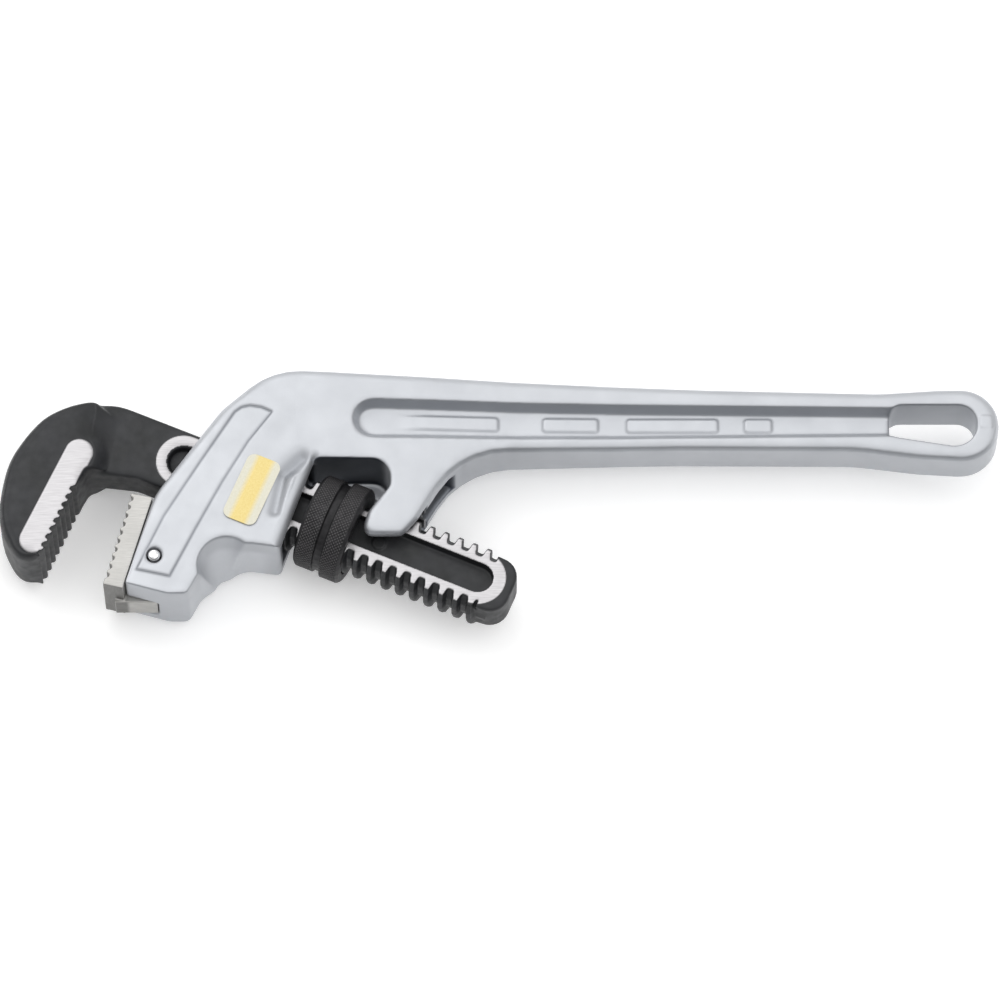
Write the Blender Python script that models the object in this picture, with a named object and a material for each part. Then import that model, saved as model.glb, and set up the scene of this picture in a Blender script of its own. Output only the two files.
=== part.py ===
"""Aluminium end-pattern pipe wrench, jaws part open, lying on its side.

+X runs along the handle to its hanging hole, +Y to the back of the handle, +Z out of the side
that carries the label. Sizes below are millimetres and become metres when a mesh is made.
The layout is drawn about the centre of the adjusting nut, and the last step moves the whole
tool so that the middle of its lowest side is at the origin.
"""

import math

import bmesh
import bpy
from mathutils import Matrix, Vector

MM = 0.001
ARC_STEP = math.radians(12.0)
OVERCUT = 3.0
PIECE_GAP = 0.35
SAME_POINT = 0.001
SEAM_STEP = 0.04

# Casting: half thickness at the head, and how it thins along the handle (x, half thickness).
HEAD_HALF = 13.5
TAPER = ((-2.0, HEAD_HALF), (30.0, HEAD_HALF * 0.89), (60.0, HEAD_HALF * 0.74), (95.0, HEAD_HALF * 0.68))
OUTER_ROUND = 2.8
WINDOW_ROUND = 0.8
HANDLE_END_X = 219.6
HANDLE_TOP_Y = 46.8
HANDLE_BOTTOM_Y = 20.2
HANDLE_END_RADIUS = (HANDLE_TOP_Y - HANDLE_BOTTOM_Y) / 2.0 - 0.9
NECK_FLOOR_Y = 23.5

# Sunk panel on each side of the handle, and the hanging hole.
PANEL_DEPTH = 4.3
PANEL_DRAFT = 2.2
PANEL_MID_Y = 34.4
PANEL_LEFT_X = 6.0
PANEL_LEFT_HALF = 7.0
PANEL_RIGHT_X = HANDLE_END_X - 27.6
PANEL_RIGHT_HALF = 5.1
HOLE_LEFT_X = HANDLE_END_X - 36.1
HOLE_RIGHT_X = HANDLE_END_X - 7.4
HOLE_TOP_Y = 40.4
HOLE_BOTTOM_Y = 24.7
HOLE_NARROWING = 4.7

# Screw thread of the hook jaw and the nut.
AXIS_TILT = math.radians(-23.0)
PITCH = 5.08
CREST_RADIUS = 12.6
ROOT_RADIUS = CREST_RADIUS - 2.4
CREST_WIDTH = 1.55
ROOT_WIDTH = 2.05
THREAD_SIDE_CLEARANCE = 0.28
THREAD_RADIAL_CLEARANCE = 0.35
THREAD_START = -25.9
UPPER_THREAD_END = 57.5
LOWER_THREAD_END = 61.0

# Hook jaw.
SHANK_HALF = 7.3
SHANK_TOP = ROOT_RADIUS + 0.3
SHANK_BOTTOM = -ROOT_RADIUS - 0.7
SHANK_END = 63.7
SHANK_END_HALF = ROOT_RADIUS - 0.5
END_START = SHANK_END - 8.9
SHANK_END_RADIUS = 6.6
CHANNEL_LEFT = -58.8
CHANNEL_RIGHT = 56.6
CHANNEL_HALF_WIDTH = 5.0
CHANNEL_DEPTH = 3.6
JAW_HALF = HEAD_HALF - 0.5

# Nut.
NUT_RADIUS = CREST_RADIUS + 4.0
NUT_HALF_LENGTH = 8.25
NUT_STEP = 0.7
NUT_GROOVE_DEPTH = 0.9
NUT_GROOVE_HALF = 1.5
NUT_CHAMFER = 1.0
NUT_SIDES = 40

# Passage for the shank through the casting, with room for the jaw to rock.
PASSAGE_HALF = SHANK_HALF + 0.9
PASSAGE_TOP = CREST_RADIUS + 3.0
PASSAGE_BOTTOM = -CREST_RADIUS - 2.0
PASSAGE_REACH = 80.0
WINDOW_TOP_Y = NUT_RADIUS + 3.2

# Web that closes the upper right corner of the window behind the shank.
WEB_NUT_GAP = 1.3
WEB_BOTTOM_Y = 4.5
WEB_BACK = -11.8
WEB_FRONT = -PASSAGE_HALF - 0.6

# Notch in the belly of the head, a cone that is wider at the front.
BELLY_X = -35.0
BELLY_Y = -17.6
BELLY_BACK_RADIUS = 3.2
BELLY_FRONT_RADIUS = 10.2

# Springs.
CHAMBER_LEFT = 16.5
CHAMBER_TOP = 30.6
CHAMBER_HALF = 5.2
COIL_CENTRE = 21.6
COIL_RADIUS = 3.4
COIL_WIRE = 0.6
COIL_TURNS = 5.5
LEAF_THICKNESS = 0.8
LEAF_WIDTH = 7.0
LEAF_LEFT = 13.5
LEAF_RIGHT = 27.0
LEAF_BOTTOM = CREST_RADIUS + PIECE_GAP
RIVET_RADIUS = 1.0
RIVET_HEAD_RADIUS = 2.1
RIVET_HEAD_HEIGHT = 0.9

# Heel jaw, its tang and its pin.
HEEL_HALF = HEAD_HALF - 2.0
HEEL_TOP_Y = 6.4
HEEL_BOTTOM_Y = -25.6
HEEL_TIP_TOP = (-66.4, 7.9)
HEEL_TIP_BOTTOM = (-75.2, -24.1)
TANG_FRONT = 1.0
TANG_BACK = -8.5
TANG_LENGTH = 11.0
TANG_ROOT = 3.0
TANG_TOP_Y = 2.0
TANG_BOTTOM_Y = -26.6
PIN_X = -58.5
PIN_Y = -14.6
PIN_RADIUS = 2.0
PIN_HOLE_CLEARANCE = 0.6
PIN_PROUD = 0.35
TANG_HOLE_FLOOR = 1.5

# Teeth of both jaws.
TOOTH_PITCH = 3.1
TOOTH_DEPTH = 1.2

# Label.
LABEL_CENTRE = (-26.7, 8.2)
LABEL_LENGTH = 24.0
LABEL_WIDTH = 11.6
LABEL_THICKNESS = 0.25
LABEL_CORNER = 2.6

ALONG = Vector((math.cos(AXIS_TILT), math.sin(AXIS_TILT), 0.0))
ACROSS = Vector((-math.sin(AXIS_TILT), math.cos(AXIS_TILT), 0.0))


def clear_scene():
    for obj in list(bpy.data.objects):
        bpy.data.objects.remove(obj, do_unlink=True)


def axis_point(s, t):
    """Layout x, y of a place s along the screw axis and t across it."""
    place = ALONG * s + ACROSS * t
    return place.x, place.y


def material(name, colour, roughness, metallic):
    made = bpy.data.materials.new(name)
    made.use_nodes = True
    shader = made.node_tree.nodes["Principled BSDF"]
    shader.inputs["Base Color"].default_value = (*colour, 1.0)
    shader.inputs["Roughness"].default_value = roughness
    shader.inputs["Metallic"].default_value = metallic
    return made


def new_object(name, bm, finish=None):
    """Turns a millimetre bmesh into an object in metres."""
    bmesh.ops.recalc_face_normals(bm, faces=bm.faces)
    bmesh.ops.scale(bm, vec=(MM, MM, MM), verts=bm.verts)
    mesh = bpy.data.meshes.new(name)
    bm.to_mesh(mesh)
    bm.free()
    obj = bpy.data.objects.new(name, mesh)
    bpy.context.scene.collection.objects.link(obj)
    if finish:
        mesh.materials.append(finish)
    return obj


def combine(target, other, operation):
    """Cuts or joins the other mesh for good, and drops it."""
    modifier = target.modifiers.new(other.name, "BOOLEAN")
    modifier.operation = operation
    modifier.solver = "EXACT"
    modifier.object = other
    graph = bpy.context.evaluated_depsgraph_get()
    result = bpy.data.meshes.new_from_object(target.evaluated_get(graph))
    target.modifiers.remove(modifier)
    target.data = result
    bpy.data.objects.remove(other, do_unlink=True)


def cut(target, *cutters):
    for cutter in cutters:
        combine(target, cutter, "DIFFERENCE")


def join(target, *others):
    for other in others:
        combine(target, other, "UNION")


def turn(ax, ay, bx, by):
    return math.atan2(ax * by - ay * bx, ax * bx + ay * by)


def rounded(corners):
    """Outline points from corners (x, y, radius, edge rounding), each radius drawn as an arc."""
    points = []
    for i, (x, y, radius, edge) in enumerate(corners):
        before = corners[i - 1]
        after = corners[(i + 1) % len(corners)]
        ix, iy = x - before[0], y - before[1]
        ox, oy = after[0] - x, after[1] - y
        il, ol = math.hypot(ix, iy), math.hypot(ox, oy)
        ix, iy, ox, oy = ix / il, iy / il, ox / ol, oy / ol
        angle = turn(ix, iy, ox, oy)
        if radius == 0.0 or abs(angle) < 1e-3:
            points.append((x, y, edge))
            continue
        reach = radius * math.tan(abs(angle) / 2.0)
        side = math.copysign(1.0, angle)
        sx, sy = x - ix * reach, y - iy * reach
        cx, cy = sx - iy * radius * side, sy + ix * radius * side
        steps = max(2, math.ceil(abs(angle) / ARC_STEP))
        for step in range(steps + 1):
            swing = angle * step / steps
            rx, ry = sx - cx, sy - cy
            px = cx + rx * math.cos(swing) - ry * math.sin(swing)
            py = cy + rx * math.sin(swing) + ry * math.cos(swing)
            points.append((px, py, edge))
    return points


def inward(points):
    """Mitred inward directions of an anticlockwise outline."""
    found = []
    for i, (x, y, _) in enumerate(points):
        bx, by, _ = points[i - 1]
        ax, ay, _ = points[(i + 1) % len(points)]
        first = Vector((by - y, x - bx)).normalized()
        second = Vector((y - ay, ax - x)).normalized()
        found.append((first + second) / (1.0 + first.dot(second)))
    return found


def skin(bm, rings):
    """Closes a stack of rings, each with the same count of vertices, into one body."""
    count = len(rings[0])
    for low, high in zip(rings, rings[1:]):
        for i in range(count):
            j = (i + 1) % count
            bm.faces.new((low[i], low[j], high[j], high[i]))
    bm.faces.new(rings[0][::-1])
    bm.faces.new(rings[-1])


def slab(points, low, high):
    """Extruded outline between two heights, with each point's edge rounding at both."""
    bm = bmesh.new()
    directions = inward(points)
    quarter = (0.0, math.pi / 4.0, math.pi / 2.0)
    levels = [(a, -1) for a in reversed(quarter)] + [(a, 1) for a in quarter]
    if all(edge == 0.0 for _, _, edge in points):
        levels = [(0.0, -1), (0.0, 1)]
    rings = []
    for angle, side in levels:
        ring = []
        for (x, y, edge), direction in zip(points, directions):
            inset = edge * (1.0 - math.cos(angle))
            drop = edge * (1.0 - math.sin(angle))
            z = high - drop if side > 0 else low + drop
            ring.append(bm.verts.new((x + direction.x * inset, y + direction.y * inset, z)))
        rings.append(ring)
    skin(bm, rings)
    bmesh.ops.remove_doubles(bm, verts=bm.verts, dist=SAME_POINT)
    return bm


def plain(points):
    return [(x, y, 0.0) for x, y in points]


def half_thickness(x):
    for (x0, h0), (x1, h1) in zip(TAPER, TAPER[1:]):
        if x <= x0:
            return h0
        if x <= x1:
            return h0 + (h1 - h0) * (x - x0) / (x1 - x0)
    return TAPER[-1][1]


def follow_taper(bm):
    """Splits the faces where the taper changes, then moves both sides in as the casting thins."""
    for x, _ in TAPER:
        geometry = bm.verts[:] + bm.edges[:] + bm.faces[:]
        bmesh.ops.bisect_plane(bm, geom=geometry, plane_co=(x, 0.0, 0.0), plane_no=(1.0, 0.0, 0.0))
    for vert in bm.verts:
        vert.co.z -= math.copysign(HEAD_HALF - half_thickness(vert.co.x), vert.co.z)


def axis_box(s0, s1, t0, t1, half):
    corners = [axis_point(s0, t0), axis_point(s1, t0), axis_point(s1, t1), axis_point(s0, t1)]
    return slab(plain(corners), -half, half)


def cone(x, y, ends, sides):
    """Upright cone or cylinder from its two ends (height, radius)."""
    bm = bmesh.new()
    rings = []
    for z, radius in ends:
        ring = []
        for i in range(sides):
            angle = 2.0 * math.pi * i / sides
            ring.append(bm.verts.new((x + radius * math.cos(angle), y + radius * math.sin(angle), z)))
        rings.append(ring)
    skin(bm, rings)
    return bm


def casting_corners():
    """Outline of the casting: heel, belly, window for the nut, finger, neck, handle, then the head."""
    wide = OUTER_ROUND
    thin = WINDOW_ROUND
    nut_left = -NUT_HALF_LENGTH
    nut_right = NUT_HALF_LENGTH
    return (
        (-68.0, -24.3, 0.0, thin),
        (-54.0, -28.2, 3.0, thin),
        (-47.6, -28.2, 2.5, thin),
        (-43.6, -20.6, 6.0, thin),
        (-30.0, -10.2, 9.0, thin),
        (nut_left - 9.4, -11.9, 1.6, thin),
        (nut_left + 1.8, WINDOW_TOP_Y, 1.6, thin),
        (nut_right + 10.5, WINDOW_TOP_Y, 6.3, thin),
        (nut_right + 10.3, 10.4, 3.0, thin),
        (nut_right + 3.1, 1.6, 4.0, 2.0),
        (nut_right + 0.7, -6.7, 3.2, 2.0),
        (nut_right + 14.3, -6.6, 3.5, 2.0),
        (nut_right + 19.3, -1.0, 4.0, 2.2),
        (42.4, NECK_FLOOR_Y, 28.0, wide),
        (115.0, 24.7, 60.0, wide),
        (HANDLE_END_X - 47.6, 24.4, 60.0, wide),
        (HANDLE_END_X - 26.6, 21.7, 60.0, wide),
        (HANDLE_END_X, HANDLE_BOTTOM_Y, HANDLE_END_RADIUS, wide),
        (HANDLE_END_X, HANDLE_TOP_Y, HANDLE_END_RADIUS, wide),
        (HANDLE_END_X - 19.6, 46.5, 20.0, wide),
        (HANDLE_END_X - 39.6, 45.2, 60.0, wide),
        (122.0, 46.6, 0.0, wide),
        (68.0, 48.7, 0.0, wide),
        (-20.5, 52.2, 25.0, wide),
        (-37.2, 37.6, 20.0, wide),
        (-58.9, 6.9, 20.0, 2.0),
    )


def panel_cutter(name):
    """Long sunk panel with drafted walls, on the +Z side."""
    top = panel_outline(0.0)
    floor = panel_outline(PANEL_DRAFT)
    spread = panel_outline(-PANEL_DRAFT * OVERCUT / PANEL_DEPTH)
    bm = bmesh.new()
    rings = []
    for points, z in ((floor, HEAD_HALF - PANEL_DEPTH), (top, HEAD_HALF), (spread, HEAD_HALF + OVERCUT)):
        rings.append([bm.verts.new((x, y, z)) for x, y in points])
    skin(bm, rings)
    follow_taper(bm)
    return new_object(name, bm)


def panel_outline(inset):
    """Panel outline drawn in by the inset, round at its left end and square at its right."""
    middle_x = PANEL_LEFT_X + PANEL_LEFT_HALF
    left_half = PANEL_LEFT_HALF - inset
    right_half = PANEL_RIGHT_HALF - inset
    points = []
    steps = 8
    for step in range(steps + 1):
        angle = math.pi / 2.0 + math.pi * step / steps
        points.append((middle_x + left_half * math.cos(angle), PANEL_MID_Y + left_half * math.sin(angle)))
    points.append((PANEL_RIGHT_X - inset, PANEL_MID_Y - right_half))
    points.append((PANEL_RIGHT_X - inset, PANEL_MID_Y + right_half))
    return points


def hole_cutter():
    """Hanging hole, narrow towards the handle and round at the end."""
    corners = (
        (HOLE_LEFT_X, HOLE_BOTTOM_Y + HOLE_NARROWING, 3.0, 0.0),
        (HOLE_RIGHT_X, HOLE_BOTTOM_Y, 7.4, 0.0),
        (HOLE_RIGHT_X, HOLE_TOP_Y, 6.0, 0.0),
        (HOLE_LEFT_X, HOLE_TOP_Y, 4.0, 0.0),
    )
    return new_object("hanging_hole", slab(rounded(corners), -HEAD_HALF - OVERCUT, HEAD_HALF + OVERCUT))


def face_edge_x(y):
    """Where the casting's end face, against which the heel jaw sits, is at this height."""
    low, high = casting_corners()[0], casting_corners()[-1]
    return low[0] + (high[0] - low[0]) * (y - low[1]) / (high[1] - low[1])


def tang_outline(grow, root, bottom):
    """Tang of the heel jaw, grown by a clearance, from its root inside the jaw to its blind side."""
    top = TANG_TOP_Y + grow
    end = TANG_LENGTH + grow
    corners = (
        (face_edge_x(bottom) - root, bottom),
        (face_edge_x(bottom) + end, bottom),
        (face_edge_x(top) + end, top),
        (face_edge_x(top) - root, top),
    )
    return plain(corners)


def tang_pocket():
    outline = tang_outline(PIECE_GAP, TANG_ROOT + OVERCUT, TANG_BOTTOM_Y - OVERCUT)
    return new_object("tang_pocket", slab(outline, TANG_BACK - PIECE_GAP, TANG_FRONT + PIECE_GAP))


def window_web():
    """Ledge behind the nut's upper right edge; it ends inside the casting's own metal."""
    left = NUT_HALF_LENGTH + WEB_NUT_GAP
    low = NUT_RADIUS + WEB_NUT_GAP
    right_x = NUT_HALF_LENGTH + 14.0
    top_y = WINDOW_TOP_Y + OVERCUT
    top_x = (low - top_y * ACROSS.y) / ACROSS.x
    bottom_x = (left - WEB_BOTTOM_Y * ALONG.y) / ALONG.x
    corners = (
        (bottom_x, WEB_BOTTOM_Y, 0.0, 0.0),
        (right_x, WEB_BOTTOM_Y, 0.0, 0.0),
        (right_x, top_y, 0.0, 0.0),
        (top_x, top_y, 0.0, 0.0),
        (*axis_point(left, low), 4.0, 0.0),
    )
    return new_object("window_web", slab(rounded(corners), WEB_BACK, WEB_FRONT))


def handle_housing(finish):
    bm = slab(rounded(casting_corners()), -HEAD_HALF, HEAD_HALF)
    follow_taper(bm)
    body = new_object("handle_housing", bm, finish)
    join(body, window_web())
    right = PASSAGE_REACH / 2.0
    shank_room = axis_box(-PASSAGE_REACH, right, PASSAGE_BOTTOM, PASSAGE_TOP, PASSAGE_HALF)
    passage = new_object("passage", shank_room)
    spring_room = axis_box(CHAMBER_LEFT, right, CREST_RADIUS, CHAMBER_TOP, CHAMBER_HALF)
    chamber = new_object("chamber", spring_room)
    belly_ends = ((-HEAD_HALF - OVERCUT, BELLY_BACK_RADIUS), (HEAD_HALF + OVERCUT, BELLY_FRONT_RADIUS))
    belly = new_object("belly", cone(BELLY_X, BELLY_Y, belly_ends, 24))
    hole_radius = PIN_RADIUS + PIN_HOLE_CLEARANCE
    hole_ends = ((0.0, hole_radius), (HEAD_HALF + OVERCUT, hole_radius))
    pin_hole = new_object("pin_hole", cone(PIN_X, PIN_Y, hole_ends, 24))
    front_panel = panel_cutter("front_panel")
    back_panel = panel_cutter("back_panel")
    back_panel.data.transform(Matrix.Diagonal((1.0, 1.0, -1.0, 1.0)))
    back_panel.data.flip_normals()
    cut(body, passage, chamber, belly, tang_pocket(), pin_hole, front_panel, back_panel, hole_cutter())
    return body


def thread_edge(side, end):
    """Tooth corners (offset along the axis, radius) of one edge of the shank, from start to end."""
    flank = (PITCH - CREST_WIDTH - ROOT_WIDTH) / 2.0
    corners = (
        (-CREST_WIDTH / 2.0, CREST_RADIUS),
        (CREST_WIDTH / 2.0, CREST_RADIUS),
        (CREST_WIDTH / 2.0 + flank, ROOT_RADIUS),
        (CREST_WIDTH / 2.0 + flank + ROOT_WIDTH, ROOT_RADIUS),
    )
    phase = 0.0 if side > 0 else PITCH / 2.0
    first = math.ceil((THREAD_START + PITCH - phase) / PITCH)
    last = math.floor((end - PITCH - phase) / PITCH)
    row = []
    for turn_number in range(first, last + 1):
        row += [(turn_number * PITCH + phase + offset, radius) for offset, radius in corners]
    return row[:-1]


def thread_point(side, s, radius, z, fixed=False):
    """A corner of the thread where it crosses height z: the helix moves it along the axis."""
    lead = 0.0 if fixed else side * PITCH * math.asin(z / radius) / (2.0 * math.pi)
    x, y = axis_point(s + lead, side * math.sqrt(radius * radius - z * z))
    return x, y, z


def threaded_core():
    """Flat-sided length of the shank with screw teeth on its two edges."""
    heights = [SHANK_HALF * k / 2.0 for k in (-2, -1, 0, 1, 2)]
    bm = bmesh.new()
    grids = []
    for side, end in ((1, UPPER_THREAD_END), (-1, LOWER_THREAD_END)):
        row = thread_edge(side, end)
        grid = []
        for z in heights:
            line = [bm.verts.new(thread_point(side, THREAD_START - 2.0, ROOT_RADIUS, z, True))]
            line.append(bm.verts.new(thread_point(side, row[0][0] - 1.0, ROOT_RADIUS, z)))
            line += [bm.verts.new(thread_point(side, s, radius, z)) for s, radius in row]
            line.append(bm.verts.new(thread_point(side, row[-1][0] + 1.0, ROOT_RADIUS, z)))
            line.append(bm.verts.new(thread_point(side, UPPER_THREAD_END + 1.0, ROOT_RADIUS, z, True)))
            grid.append(line)
        for low, high in zip(grid, grid[1:]):
            for i in range(len(low) - 1):
                bm.faces.new((low[i], low[i + 1], high[i + 1], high[i]))
        grids.append(grid)
    upper, lower = grids
    for k in (0, -1):
        bm.faces.new(upper[k] + lower[k][::-1])
    for i in (0, -1):
        bm.faces.new([line[i] for line in upper] + [line[i] for line in reversed(lower)])
    return new_object("threaded_core", bm)


def toothed(start, end, outward):
    """Saw teeth along a straight edge from start to end, cut in from its tip line."""
    sx, sy = start
    ex, ey = end
    length = math.hypot(ex - sx, ey - sy)
    ux, uy = (ex - sx) / length, (ey - sy) / length
    count = int(length // TOOTH_PITCH)
    margin = (length - count * TOOTH_PITCH) / 2.0
    points = [(sx, sy)]
    for tooth in range(count):
        at = margin + tooth * TOOTH_PITCH
        for offset, depth in ((0.0, 0.0), (0.25, TOOTH_DEPTH), (1.15, TOOTH_DEPTH), (2.2, 0.0)):
            along = at + offset
            points.append((sx + ux * along - outward[0] * depth, sy + uy * along - outward[1] * depth))
    points.append((ex, ey))
    return points


def jaw_tip_line():
    return axis_point(-81.9, -22.8), axis_point(-82.4, -50.9)


def hook_head():
    """Hooked end with the toothed face, wider than the shank."""
    top, bottom = jaw_tip_line()
    teeth = toothed(bottom, top, (ALONG.x, ALONG.y))
    corners = [(x, y, 0.0, 0.0) for x, y in teeth]
    corners += [
        (-81.0, 16.4, 2.5, 1.5),
        (-74.5, 17.6, 2.0, 2.0),
        (-71.5, 36.0, 6.0, 4.0),
        (-80.5, 42.3, 6.0, 4.0),
        (-96.0, 36.2, 16.0, 4.0),
        (-107.2, 20.6, 24.0, 4.0),
        (-110.9, -2.0, 24.0, 4.0),
        (-103.2, -16.5, 7.0, 3.0),
    ]
    return new_object("hook_head", slab(rounded(corners), -JAW_HALF, JAW_HALF))


def hook_arm():
    """Plain length of the forging from the hooked head to the thread."""
    lower_start = axis_point(-77.0, -14.6)
    corners = (
        (*axis_point(THREAD_START + 1.0, SHANK_BOTTOM), 0.0, 0.5),
        (*axis_point(THREAD_START + 1.0, SHANK_TOP), 0.0, 0.5),
        (*axis_point(-84.0, SHANK_TOP - 0.1), 10.0, 1.2),
        (-88.0, 38.5, 6.0, 1.2),
        (-92.0, 24.0, 0.0, 1.2),
        (-84.0, 17.0, 0.0, 1.2),
        (*lower_start, 2.0, 1.2),
        (*axis_point(-66.0, SHANK_BOTTOM - 0.4), 4.0, 0.5),
    )
    half = SHANK_HALF - SEAM_STEP
    return new_object("hook_arm", slab(rounded(corners), -half, half))


def shank_end():
    """Plain rounded end of the shank beyond the thread."""
    corners = (
        (*axis_point(END_START, -SHANK_END_HALF), 0.0, 0.6),
        (*axis_point(SHANK_END, -SHANK_END_HALF), SHANK_END_RADIUS, 1.0),
        (*axis_point(SHANK_END, SHANK_END_HALF), SHANK_END_RADIUS, 1.0),
        (*axis_point(END_START, SHANK_END_HALF), 0.0, 0.6),
    )
    half = SHANK_HALF - SEAM_STEP
    return new_object("shank_end", slab(rounded(corners), -half, half))


def channel_cutter(name, side):
    """Sunk channel in one side of the shank."""
    corners = [(CHANNEL_LEFT, -1), (CHANNEL_RIGHT, -1), (CHANNEL_RIGHT, 1), (CHANNEL_LEFT, 1)]
    radius = CHANNEL_HALF_WIDTH - 0.01
    outline = rounded([(*axis_point(s, w * CHANNEL_HALF_WIDTH), radius, 0.0) for s, w in corners])
    floor = SHANK_HALF - CHANNEL_DEPTH
    low, high = (floor, SHANK_HALF + OVERCUT) if side > 0 else (-SHANK_HALF - OVERCUT, -floor)
    return new_object(name, slab(outline, low, high))


def hook_jaw(finish):
    body = hook_arm()
    body.name = "hook_jaw"
    join(body, threaded_core(), shank_end(), hook_head())
    cut(body, channel_cutter("front_channel", 1), channel_cutter("back_channel", -1))
    body.data.materials.clear()
    body.data.materials.append(finish)
    return body


def thread_cutter():
    """Closed screw that the shank's thread clears on every side, to cut the nut's bore."""
    flank = (PITCH - CREST_WIDTH - ROOT_WIDTH) / 2.0
    crest = CREST_WIDTH + 2.0 * THREAD_SIDE_CLEARANCE
    outer = CREST_RADIUS + THREAD_RADIAL_CLEARANCE
    inner = ROOT_RADIUS + THREAD_RADIAL_CLEARANCE
    corners = (
        (-crest / 2.0, outer),
        (crest / 2.0, outer),
        (crest / 2.0 + flank, inner),
        (PITCH - crest / 2.0 - flank, inner),
    )
    turns = math.ceil(2.0 * NUT_HALF_LENGTH / PITCH) + 2
    start = -turns * PITCH / 2.0
    first_turn = math.floor(start / PITCH)
    bm = bmesh.new()
    columns = {}

    def vertex(row, step):
        row, step = row + 4 * (step // NUT_SIDES), step % NUT_SIDES
        if (row, step) not in columns:
            offset, radius = corners[row % 4]
            angle = 2.0 * math.pi * step / NUT_SIDES
            s = (first_turn + row // 4 + step / NUT_SIDES) * PITCH + offset
            radial = ACROSS * math.cos(angle) + Vector((0.0, 0.0, 1.0)) * math.sin(angle)
            columns[row, step] = bm.verts.new(ALONG * s + radial * radius)
        return columns[row, step]

    rows = 4 * turns
    for row in range(rows):
        for step in range(NUT_SIDES):
            near, far = vertex(row, step), vertex(row + 1, step)
            bm.faces.new((near, vertex(row, step + 1), vertex(row + 1, step + 1), far))
    for row, hub_turn in ((0, first_turn - 1), (rows, first_turn + turns + 2)):
        loop = [vertex(row, step) for step in range(NUT_SIDES)]
        loop += [vertex(row + back, 0) for back in (4, 3, 2, 1)]
        hub = bm.verts.new(ALONG * (hub_turn * PITCH))
        for a, b in zip(loop, loop[1:] + loop[:1]):
            bm.faces.new((a, b, hub))
    return new_object("thread_cutter", bm)


def turned(name, profile, origin, axis, start, sides, finish=None):
    """Solid turned about an axis from (distance along it, radius) points; both ends are flat."""
    bm = bmesh.new()
    third = axis.cross(start)
    rings = []
    for along, radius in profile:
        ring = []
        for i in range(sides):
            angle = 2.0 * math.pi * i / sides
            place = origin + axis * along + (start * math.cos(angle) + third * math.sin(angle)) * radius
            ring.append(bm.verts.new(place))
        rings.append(ring)
    skin(bm, rings)
    return new_object(name, bm, finish)


def adjusting_nut(finish):
    small = NUT_RADIUS - NUT_STEP
    groove = NUT_RADIUS - NUT_STEP - NUT_GROOVE_DEPTH
    profile = (
        (-NUT_HALF_LENGTH, small - NUT_CHAMFER),
        (-NUT_HALF_LENGTH + NUT_CHAMFER, small),
        (-NUT_GROOVE_HALF, small),
        (-NUT_GROOVE_HALF + 0.3, groove),
        (NUT_GROOVE_HALF - 0.3, groove),
        (NUT_GROOVE_HALF, NUT_RADIUS),
        (NUT_HALF_LENGTH - NUT_CHAMFER, NUT_RADIUS),
        (NUT_HALF_LENGTH, NUT_RADIUS - NUT_CHAMFER),
    )
    nut = turned("adjusting_nut", profile, Vector(), ALONG, ACROSS, NUT_SIDES, finish)
    cut(nut, thread_cutter())
    return nut


def heel_jaw(finish):
    top, bottom = Vector(HEEL_TIP_TOP), Vector(HEEL_TIP_BOTTOM)
    line = (bottom - top).normalized()
    outward = (line.y, -line.x)
    teeth = toothed(HEEL_TIP_TOP, HEEL_TIP_BOTTOM, outward)
    back = [(face_edge_x(y) - PIECE_GAP, y) for y in (HEEL_BOTTOM_Y, HEEL_TOP_Y)]
    body = new_object("heel_jaw", slab(plain(teeth + back), -HEEL_HALF, HEEL_HALF), finish)
    tang = new_object("tang", slab(tang_outline(0.0, TANG_ROOT, TANG_BOTTOM_Y), TANG_BACK, TANG_FRONT))
    join(body, tang)
    hole_radius = PIN_RADIUS + PIECE_GAP
    hole_ends = ((TANG_BACK + TANG_HOLE_FLOOR, hole_radius), (TANG_FRONT + OVERCUT, hole_radius))
    cut(body, new_object("tang_hole", cone(PIN_X, PIN_Y, hole_ends, 20)))
    return body


def heel_jaw_pin(finish):
    top = HEAD_HALF + PIN_PROUD
    profile = (
        (TANG_BACK + TANG_HOLE_FLOOR + PIECE_GAP, PIN_RADIUS),
        (top - 0.8, PIN_RADIUS),
        (top - 0.2, PIN_RADIUS - 0.5),
        (top, PIN_RADIUS - 1.2),
    )
    origin = Vector((PIN_X, PIN_Y, 0.0))
    return turned("heel_jaw_pin", profile, origin, Vector((0, 0, 1)), Vector((1, 0, 0)), 20, finish)


def flat_spring(finish):
    top = LEAF_BOTTOM + LEAF_THICKNESS
    strip = axis_box(LEAF_LEFT, LEAF_RIGHT, LEAF_BOTTOM, top, LEAF_WIDTH / 2.0)
    leaf = new_object("flat_spring", strip, finish)
    base = ALONG * COIL_CENTRE
    hole_radius = RIVET_RADIUS + PIECE_GAP
    profile = ((LEAF_BOTTOM - OVERCUT, hole_radius), (top + OVERCUT, hole_radius))
    cut(leaf, turned("rivet_hole", profile, base, ACROSS, ALONG, 16))
    return leaf


def spring_rivet(finish):
    seat = LEAF_BOTTOM + LEAF_THICKNESS + PIECE_GAP
    profile = (
        (LEAF_BOTTOM, RIVET_RADIUS),
        (seat, RIVET_RADIUS),
        (seat + 0.01, RIVET_HEAD_RADIUS),
        (seat + 0.5, RIVET_HEAD_RADIUS),
        (seat + RIVET_HEAD_HEIGHT, RIVET_HEAD_RADIUS * 0.6),
    )
    return turned("spring_rivet", profile, ALONG * COIL_CENTRE, ACROSS, ALONG, 16, finish)


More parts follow.
